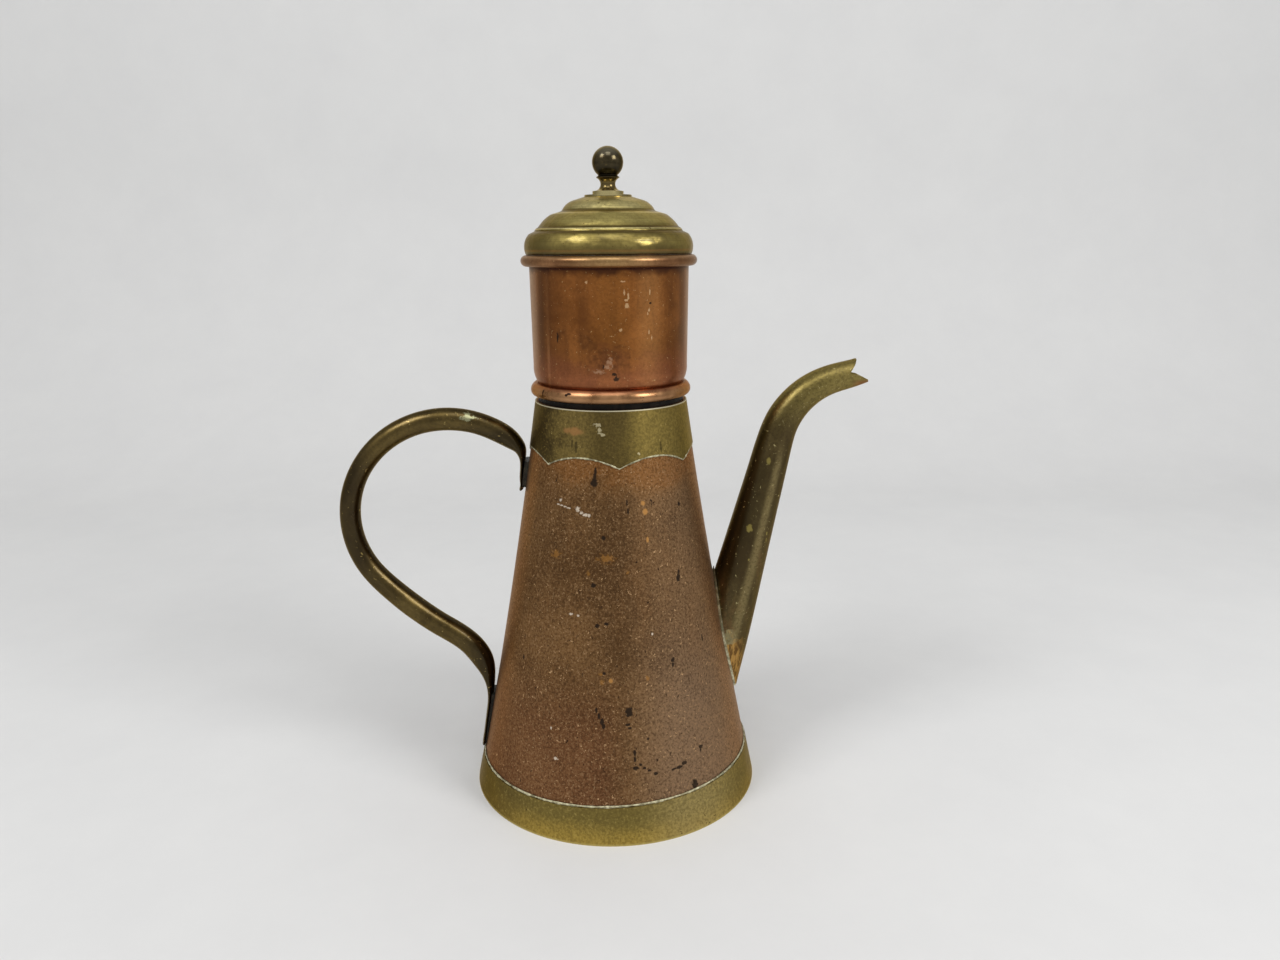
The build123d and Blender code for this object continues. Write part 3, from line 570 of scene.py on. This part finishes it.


# The filter cup: a smooth, reddish copper cylinder with upright dark bands and a rim rolled over iron wire.
# The roll is rubbed bright, with a painted highlight along its top and painted shade toward its sides, and
# the wall is painted dark right under it as painted shade. Painted reflections run down the wall: dark, then
# pale, toward both sides, with a pale streak and a pale band. The inside was tinned.

def filter_copper():
    material, tree, shader, place = finish("filter_copper", edge=(0.95, 0.78, 0.62, 1))
    x, _, z = split(tree, place)
    wall = 34.6  # the cylinder's radius in mm
    clouds = noise(tree, place, 0.03, 4, 0.6, 0.4)
    upright = noise(tree, drawn_out(tree, place, 1, 1, 0.1), 0.007, 3, 0.5, 0.3)
    grain = noise(tree, place, 0.0012, 2, 0.7)
    side = apart(tree, x, 0.001)
    middle = both(tree, fade(tree, side, 0.002, 0.013, 0.3, 0), fade(tree, z, 0.206, 0.216))
    painted_streak = both(tree, fade(tree, apart(tree, x, -0.0261), 0.0002, 0.0009, 0.4, 0),
                     fade(tree, z, 0.196, 0.22, 1, 0.2))
    radius = node(tree, "VectorMath", {0: drawn_out(tree, place, 1, 1, 0)}, operation="LENGTH").outputs[1]
    on_wall = fade(tree, radius, 0.0349, 0.0355, 1, 0)
    on_roll = fade(tree, on_wall, 0.0, 1.0, 1, 0)
    shade_edge = wander(tree, z, noise(tree, place, 0.007, 3), 0.008)
    roll = coats(
        tree, rgb(108, 72, 44),
        (fade(tree, clouds, 0.4, 0.62), rgb(152, 110, 74)),
        # a painted highlight along the roll's top
        (fade(tree, z, 0.2455, 0.2468, 0, 0.45), rgb(186, 148, 106)),
        # painted light and shade: paler in front, darker toward the sides
        (fade(tree, side, 0.0, 0.024, 0.4, 0), rgb(196, 164, 108)),
        (fade(tree, side, 0.026, 0.036, 0, 0.35), rgb(78, 54, 30)))
    stains = marks(tree, place, wall, (
        (-128, 215, 1.2, 3.0), (-124, 217, 1.5, 1.8), (-93, 206, 10, 6), (-105, 212, 6, 5), (80, 215, 5, 5),
        (150, 225, 2, 4)), share=0.55, rag=4.0, grain=0.0022, soft=1.4)
    scrapes = marks(tree, place, wall, (
        (-80, 232.6, 0.4, 1.2), (-77.3, 231.5, 0.4, 1.5), (-78.8, 229.6, 0.7, 0.5), (-78.4, 227.4, 0.8, 0.9),
        (-81, 237.2, 1.0, 0.3), (-61.5, 233, 0.3, 1.2), (-62, 225.5, 0.4, 0.8), (-63, 224, 0.3, 0.6),
        (-62, 216.5, 0.3, 1.4), (-60, 214, 0.3, 1.0), (-105.7, 237, 0.5, 0.5), (-82.7, 217.6, 0.55, 0.55),
        (70, 220, 1.8, 0.8), (110, 232, 0.8, 1.4)), share=0.8, rag=3.2, grain=0.0009, soft=0.5)
    rubbed = marks(tree, place, wall, (
        (-90, 204.6, 1.3, 2.0), (-92, 202.4, 1.6, 1.0), (-97.5, 200.6, 2.6, 0.9)),
        share=0.6, rag=3.4, grain=0.0012, soft=0.8)
    spots = marks(tree, place, wall, (
        (-86, 197.6, 1.1, 1.4), (-87.4, 199.4, 1.0, 0.7), (-61, 228.4, 0.55, 0.55), (-129.5, 214, 0.5, 2.2),
        (-95, 202.4, 0.4, 1.2), (120, 205, 1.2, 1.5)), share=0.9, rag=2.2, grain=0.001, soft=0.4)
    inside = both(tree, facing_in(tree, place), calc(tree, "LESS_THAN", z, 0.2427))
    colour = coats(
        tree, rgb(118, 70, 30),
        (fade(tree, clouds, 0.35, 0.65), rgb(156, 98, 48)),
        (fade(tree, upright, 0.46, 0.7, 0, 0.5), rgb(98, 58, 28)),  # upright dark bands
        (fade(tree, x, -0.025, -0.015, 0.4, 0), rgb(88, 50, 24)),
        (fade(tree, x, 0.017, 0.027, 0, 0.2), rgb(88, 50, 24)),
        (middle, rgb(164, 106, 46)),
        (fade(tree, apart(tree, side, 0.03), 0.0003, 0.0022, 0.55, 0), rgb(74, 42, 22)),  # painted reflections: dark, then
        (fade(tree, side, 0.0306, 0.0342, 0, 0.8), rgb(172, 140, 112)),  # pale, toward both sides
        # a painted highlight streak down the left of the wall
        (painted_streak, rgb(204, 146, 96)),
        (fade(tree, apart(tree, x, 0.0165), 0.001, 0.008, 0.4, 0), rgb(188, 132, 76)),  # a painted highlight band
        (fade(tree, wander(tree, z, clouds, 0.03), 0.197, 0.212, 0.35, 0), rgb(172, 104, 76)),  # red below
        (both(tree, on_wall, fade(tree, shade_edge, 0.2385, 0.2422, 0, 0.85)), rgb(58, 30, 20)),  # painted shade under the roll
        # and a darker painted shadow line right under it
        (both(tree, on_wall, fade(tree, z, 0.2413, 0.2422, 0, 0.8)), rgb(50, 19, 14)),
        (on_roll, roll),
        (fade(tree, grain, 0.35, 0.6, 0.25, 0), rgb(84, 50, 26)),
        (flecks(tree, place, 0.001, 0.69), rgb(198, 160, 108)),
        (stains, rgb(74, 44, 22)),
        (scrapes, rgb(212, 174, 128)),
        (rubbed, rgb(196, 154, 120)),
        (spots, rgb(38, 33, 26)),
        (inside, grey_tin(tree, place)))
    film(shader, 0.08, 0.18)
    wire_up(tree, shader, Base_Color=colour, Roughness=fade(tree, clouds, 0.3, 0.7, 0.3, 0.4),
            Metallic=0.92, Normal=relief(tree, (noise(tree, place, 0.02, 2), 0.0003), (grain, 0.00002)))
    return material


dress("filter_cylinder", filter_copper())


# The bead at the cup's foot: one round bead of sheet copper, over the joint between the cylinder and the
# sleeve below it. It is rubbed bright, with a dark red line where it meets the cylinder.

def foot_bead():
    """One round bead that lies against the sleeve and closes under the cup.

    Outside, r = 33.45 + 2.4 cos(v)^p and z = 189.2 + h sin v for v from 90 to -90 degrees, where p is 1.5
    above and 0.75 below, and h is 2.4 mm below, and above it swells from 3.25 mm at the sides to 3.55 at the
    front and back. A thin lip at the top goes in under the cup, and the section closes along the sleeve.
    """
    steps, arc_points = 240, 33
    sleeve, bulge, middle, below, lip_radius, lip_foot = 33.45, 2.4, 189.2, 2.4, 32.72, 192.36
    azimuth = np.linspace(0, 2 * math.pi, steps, endpoint=False)[:, None]
    v = np.linspace(math.pi / 2, -math.pi / 2, arc_points)[None]
    same = 0 * azimuth
    above = 3.4 - 0.15 * np.cos(2 * azimuth)
    top = middle + above
    r = sleeve + bulge * np.cos(v).clip(0, 1) ** np.where(v < 0, 0.75, 1.5) + same
    z = middle + np.where(v < 0, below, above) * np.sin(v)
    lip_r = (sleeve + same, lip_radius + same, lip_radius + same)
    lip_z = (lip_foot + same, top + 0.04, top + 0.12)
    piece = ring("foot_bead", azimuth, np.concatenate([*lip_r, r], 1), np.concatenate([*lip_z, z], 1))
    crease = piece.modifiers.new("crease", "EDGE_SPLIT")
    crease.split_angle = math.radians(40)
    return piece


def bead_copper():
    material, tree, shader, place = finish("bead_copper", copper_edge)
    z = split(tree, place)[2]
    clouds = noise(tree, place, 0.012, 4, 0.6, 0.3)
    bead_radius = 35.5
    spots = marks(tree, place, bead_radius, (
        (-145, 190.6, 0.5, 2.4), (-120, 190.9, 1.1, 0.4), (-122, 190.4, 0.7, 0.5), (30, 190, 1.2, 1.2)),
        rag=1.2)
    colour = coats(
        tree, rgb(131, 93, 60),
        (fade(tree, clouds, 0.35, 0.68), rgb(176, 132, 92)),
        (fade(tree, z, 0.1906, 0.1918, 0, 0.5), rgb(152, 92, 66)),  # redder above, up to the dark red line
        (fade(tree, z, 0.192, 0.1926, 0, 0.75), rgb(80, 36, 26)),
        (fade(tree, z, 0.1868, 0.1888, 0.8, 0), rgb(112, 88, 68)),  # dull underneath
        (flecks(tree, place, 0.0018, 0.67), rgb(96, 62, 40)),
        (spots, rgb(46, 30, 22)))
    film(shader, 0.12, 0.15)
    wire_up(tree, shader, Base_Color=colour, Roughness=fade(tree, clouds, 0.3, 0.7, 0.24, 0.36),
            Metallic=0.95, Normal=relief(tree, (noise(tree, place, 0.01, 2), 0.0003)))
    return material


bead = foot_bead()
bead.data.materials.append(bead_copper())
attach(bead, "filter")
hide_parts("filter_bead")


# The wire inside the rim's roll is black iron, a little rusty. The sleeve under the cup is sheet copper,
# tinned inside, and slips into the pot's mouth. Its outside, seen in the gap under the cup's bead, is painted
# near black as painted shade.

def black_wire():
    material, tree, shader, place = finish("black_wire")
    rust = noise(tree, place, 0.003, 4, 0.6)
    colour = coats(tree, rgb(46, 42, 40), (fade(tree, rust, 0.4, 0.65), rgb(104, 66, 44)))
    wire_up(tree, shader, Base_Color=colour, Roughness=0.6,
            Metallic=0.6, Normal=relief(tree, (rust, 0.0001)))
    return material


def shade_black_sleeve():
    material, tree, shader, place = finish("shade_black_sleeve")
    mottling = noise(tree, drawn_out(tree, place, 1, 1, 0.3), 0.004, 4, 0.6)
    colour = coats(
        # painted shade: the outside is near black
        tree, rgb(14, 12, 10),
        (fade(tree, mottling, 0.4, 0.65), rgb(32, 26, 20)),
        (facing_in(tree, place), grey_tin(tree, place)))
    wire_up(tree, shader, Base_Color=colour, Roughness=0.6, Metallic=0.3, Specular_IOR_Level=0.2,
            Normal=relief(tree, (mottling, 0.00005)))
    return material


dress("rim_wire", black_wire())
dress("filter_sleeve", shade_black_sleeve())


# The plate under the coffee, the tamper and the spreader are tinned sheet full of round holes. The tamper
# has a rod and a turned brass ball; the spreader hangs by its lip in the rim and has a brass button
# riveted through a washer.

def dull_tin():
    material, tree, shader, place = finish("dull_tin")
    grain = noise(tree, place, 0.0015, 3, 0.6)
    wire_up(tree, shader, Base_Color=grey_tin(tree, place), Roughness=fade(tree, grain, 0.3, 0.7, 0.32, 0.46),
            Metallic=0.85, Normal=relief(tree, (grain, 0.00003)))
    return material


def small_brass():
    material, tree, shader, place = finish("small_brass", brass_edge)
    clouds = noise(tree, place, 0.006, 4, 0.6)
    colour = coats(tree, rgb(112, 92, 50), (fade(tree, clouds, 0.35, 0.65), rgb(176, 150, 88)))
    wire_up(tree, shader, Base_Color=colour, Roughness=fade(tree, clouds, 0.3, 0.7, 0.28, 0.42),
            Metallic=0.95, Normal=relief(tree, (noise(tree, place, 0.0012, 2), 0.00003)))
    return material


tin = dull_tin()
for sheet in ("filter_plate", "tamper_disc", "tamper_rod", "spreader_dish"):
    dress(sheet, tin)
turned_brass = small_brass()
for turning in ("tamper_knob", "spreader_knob", "spreader_washer"):
    dress(turning, turned_brass)


# The lid: thin brass spun over a form in three steps, a little uneven, with soft ripples round its bulge.
# It is olive gold and grey under the dome, where a tinned ring and sleeve hold it on the cup. Painted shade
# darkens the hollows between its steps, the underside of its bulge, its sides and the gap above the cup's
# rim, and painted highlights lie on the crests of its steps, along its lower edge and across its middle.

def lid_brass():
    material, tree, shader, place = finish("lid_brass", brass_edge)
    x, _, z = split(tree, place)
    radius = node(tree, "VectorMath", {0: drawn_out(tree, place, 1, 1, 0)}, operation="LENGTH").outputs[1]
    turned = node(tree, "CombineXYZ", {0: radius, 2: z}).outputs[0]
    clouds = noise(tree, place, 0.018, 4, 0.6, 0.4)
    tool_lines = noise(tree, turned, 0.0007, 2, 0.6)
    grain = noise(tree, place, 0.0014, 2, 0.7)
    ripples = noise(tree, drawn_out(tree, place, 1, 1, 1.8), 0.009, 2, 0.4)
    across = calc(tree, "DIVIDE", x, radius)
    pale = both(tree, fade(tree, calc(tree, "ABSOLUTE", across), 0.0, 0.45, 0.3, 0),
                fade(tree, z, 0.254, 0.259))
    # each line at a step has its height, half width and share, and is painted shade in a hollow or a painted
    # highlight on a crest
    hollow, upper_hollow, crest = rgb(66, 53, 28), rgb(74, 60, 32), rgb(222, 210, 150)
    step_lines = [(fade(tree, apart(tree, z, height), half / 3, half, share, 0), tint)
                  for height, half, share, tint in (
                      (0.2569, 0.0009, 0.75, hollow), (0.2590, 0.0006, 0.7, hollow),
                      (0.2659, 0.0009, 0.7, upper_hollow), (0.2583, 0.0003, 0.85, crest),
                      (0.2648, 0.0004, 0.7, crest))]
    below = calc(tree, "LESS_THAN", faces_toward(tree)[2], -0.6)
    under = both(tree, calc(tree, "MAXIMUM", facing_in(tree, place), below), 0.8)
    colour = coats(
        tree, rgb(118, 104, 56),
        (fade(tree, clouds, 0.35, 0.65), rgb(150, 134, 74)),
        (fade(tree, z, 0.259, 0.2615, 0, 0.7), rgb(188, 173, 106)),  # paler on the second and third step
        (fade(tree, z, 0.2655, 0.2675, 0, 0.6), rgb(208, 196, 140)),
        (fade(tree, tool_lines, 0.4, 0.7, 0, 0.3), rgb(96, 84, 46)),  # lines left by the spinner's tool
        (fade(tree, z, 0.2486, 0.2522, 0.65, 0), rgb(78, 62, 34)),  # painted shade under the bulge
        (fade(tree, x, -0.036, -0.018, 0.5, 0), rgb(76, 66, 38)),  # painted reflections, darker toward both sides
        (fade(tree, across, -0.95, -0.5, 0.55, 0), rgb(84, 74, 42)),
        (fade(tree, across, 0.6, 0.97, 0, 0.4), rgb(84, 74, 42)),
        # a painted highlight across the middle of the upper steps
        (pale, rgb(196, 180, 104)),
        (fade(tree, apart(tree, z, 0.2494), 0.0002, 0.0007, 0.6, 0), rgb(132, 96, 50)),  # a painted highlight along the lower edge
        # painted shade in the gap above the cup's rim
        (fade(tree, z, 0.2478, 0.2488, 0.9, 0), rgb(38, 29, 18)),
        *step_lines,
        (fade(tree, grain, 0.35, 0.6, 0.25, 0), rgb(92, 78, 42)),
        (flecks(tree, place, 0.0016, 0.69), rgb(84, 64, 36)),
        (under, grey_tin(tree, place)))
    film(shader, 0.16, 0.14)
    wire_up(tree, shader, Base_Color=colour, Roughness=fade(tree, clouds, 0.3, 0.7, 0.28, 0.38),
            Metallic=0.92, Normal=relief(tree, (ripples, 0.0009), (grain, 0.00002), (tool_lines, 0.00003)))
    return material


dress("lid_dome", lid_brass())
dress("lid_sleeve", tin)


# The lid's knob: brass turned to a foot, a thin waist, a sharp collar and a ball, on a thin round plate, and
# held by a nut inside the dome. It has gone nearly black, and shows brown metal where fingers take hold of
# it. Its ball is painted darker at the sides as painted shade and paler on top as a painted reflection, and
# its foot is rubbed pale with a painted highlight in front.

def knob_brass():
    material, tree, shader, place = finish("knob_brass", brass_edge)
    x, _, z = split(tree, place)
    clouds = noise(tree, place, 0.007, 4, 0.6, 0.3)
    tool_lines = noise(tree, drawn_out(tree, place, 0, 0, 1), 0.0005, 2, 0.5)
    off_middle = calc(tree, "ABSOLUTE", x)
    rubbed = both(tree, fade(tree, z, 0.2742, 0.2752, 0.9, 0), fade(tree, off_middle, 0.002, 0.0075, 1, 0.3))
    sides = both(tree, fade(tree, off_middle, 0.0035, 0.0065, 0, 0.7), calc(tree, "GREATER_THAN", z, 0.28))
    colour = coats(
        tree, rgb(54, 47, 31),
        (fade(tree, clouds, 0.35, 0.7), rgb(86, 76, 52)),
        (fade(tree, z, 0.2812, 0.2868, 0.85, 0), rgb(12, 9, 5)),  # black under the ball
        (fade(tree, z, 0.2785, 0.2805, 0.6, 0), rgb(126, 108, 64)),  # brown on the waist
        # the foot: rubbed metal, with a painted highlight that makes it palest in front
        (rubbed, rgb(206, 192, 138)),
        # a painted reflection on the top of the ball
        (fade(tree, z, 0.2875, 0.2915, 0, 0.6), rgb(150, 143, 120)),
        (flecks(tree, place, 0.0014, 0.68), rgb(116, 98, 60)),
        # painted shade at the ball's sides
        (sides, rgb(22, 18, 13)))
    film(shader, 0.14, 0.2)
    bumps = relief(tree, (noise(tree, place, 0.0012, 2), 0.00003), (tool_lines, 0.00002))
    wire_up(tree, shader, Base_Color=colour, Roughness=fade(tree, clouds, 0.3, 0.7, 0.18, 0.25),
            Metallic=0.95, Normal=bumps)
    return material


dark_knob = knob_brass()
dress("lid_knob", dark_knob)
dress("knob_plate", dark_knob)
dress("knob_nut", turned_brass)


# The place: a pale plain floor that sweeps up into a backdrop, an even soft sky and three large soft
# lamps, at the front left, the front right and high over the front.

def sweep():
    """A floor that turns up: flat to y = 0.5, a quarter circle of 0.35 m, then upright, 8 m wide."""
    bend, radius, far = 0.5, 0.35, 4.0
    arc = np.linspace(0, math.pi / 2, 25)
    y = np.concatenate([[-far, -1.0], bend + radius * np.sin(arc), [bend + radius]])
    z = np.concatenate([[0.0, 0.0], radius - radius * np.cos(arc), [far]])
    x = np.linspace(-far, far, 5)
    grid = np.stack(np.broadcast_arrays(x[:, None], y[None], z[None]), -1).reshape(-1, 3)
    columns = len(y)
    corner = (np.arange(len(x) - 1)[:, None] * columns + np.arange(columns - 1)[None]).ravel()
    quads = np.stack([corner, corner + columns, corner + columns + 1, corner + 1], 1)
    mesh = bpy.data.meshes.new("sweep")
    mesh.from_pydata(grid.tolist(), [], quads.tolist())
    mesh.polygons.foreach_set("use_smooth", np.ones(len(quads), bool))
    return mesh


floor = bpy.data.objects.new("floor", sweep())
bpy.context.scene.collection.objects.link(floor)
floor_paint, tree, shader, place = finish("floor_paint")
tone = coats(tree, rgb(214, 214, 214), (noise(tree, place, 0.08, 6, 0.7), rgb(224, 224, 223)))
wire_up(tree, shader, Base_Color=tone, Roughness=0.8, Specular_IOR_Level=0.2)
floor.data.materials.append(floor_paint)

sky = bpy.data.worlds.new("sky")
sky.use_nodes = True
bpy.context.scene.world = sky
sky.node_tree.nodes["Background"].inputs["Color"].default_value = (0.95, 0.95, 0.95, 1)
sky.node_tree.nodes["Background"].inputs["Strength"].default_value = 0.55


def soft_lamp(name, place, width, watts):
    """A square soft lamp aimed at the middle of the pot."""
    lamp = bpy.data.lights.new(name, "AREA")
    lamp.size, lamp.energy = width, watts
    holder = bpy.data.objects.new(name, lamp)
    bpy.context.scene.collection.objects.link(holder)
    holder.location = place
    pot_middle = Vector((0, 0, 0.16))
    holder.rotation_euler = (pot_middle - Vector(place)).to_track_quat("-Z", "Y").to_euler()


soft_lamp("left_lamp", (-0.9, -0.7, 1.3), width=0.55, watts=8.5)
soft_lamp("right_lamp", (1.0, -0.75, 0.95), width=0.5, watts=9)
soft_lamp("top_lamp", (0.05, -0.75, 1.5), width=0.7, watts=3.5)


# The camera stands where the photo was taken from: 43 cm in front and 25 cm up, turned down 13.9 degrees,
# with a lens whose focal length is 965 of the photo's 1280 pixels.

def aim(pitch, yaw, roll):
    """The camera's turn, from angles in degrees: down, to the right, and about its own line of sight."""
    down, right_turn, tilt = (math.radians(a) for a in (pitch, yaw, roll))
    ahead = Vector((
        math.sin(right_turn) * math.cos(down), math.cos(right_turn) * math.cos(down), -math.sin(down)))
    level = Vector((math.cos(right_turn), -math.sin(right_turn), 0))
    up = level.cross(ahead)
    across = level * math.cos(tilt) + up * math.sin(tilt)
    upward = up * math.cos(tilt) - level * math.sin(tilt)
    return Matrix((across, upward, -ahead)).transposed()


camera = bpy.data.objects.new("camera", bpy.data.cameras.new("camera"))
bpy.context.scene.collection.objects.link(camera)
bpy.context.scene.camera = camera
sensor, focal_pixels, photo_pixels = 36, 965, 1280
camera.data.sensor_width = sensor
camera.data.lens = focal_pixels * sensor / photo_pixels
stand = Matrix.Translation((0, -0.43313, 0.2528))
camera.matrix_world = stand @ aim(pitch=13.8655, yaw=1.70362, roll=-0.41121).to_4x4()
bpy.context.scene.view_settings.view_transform = "Standard"
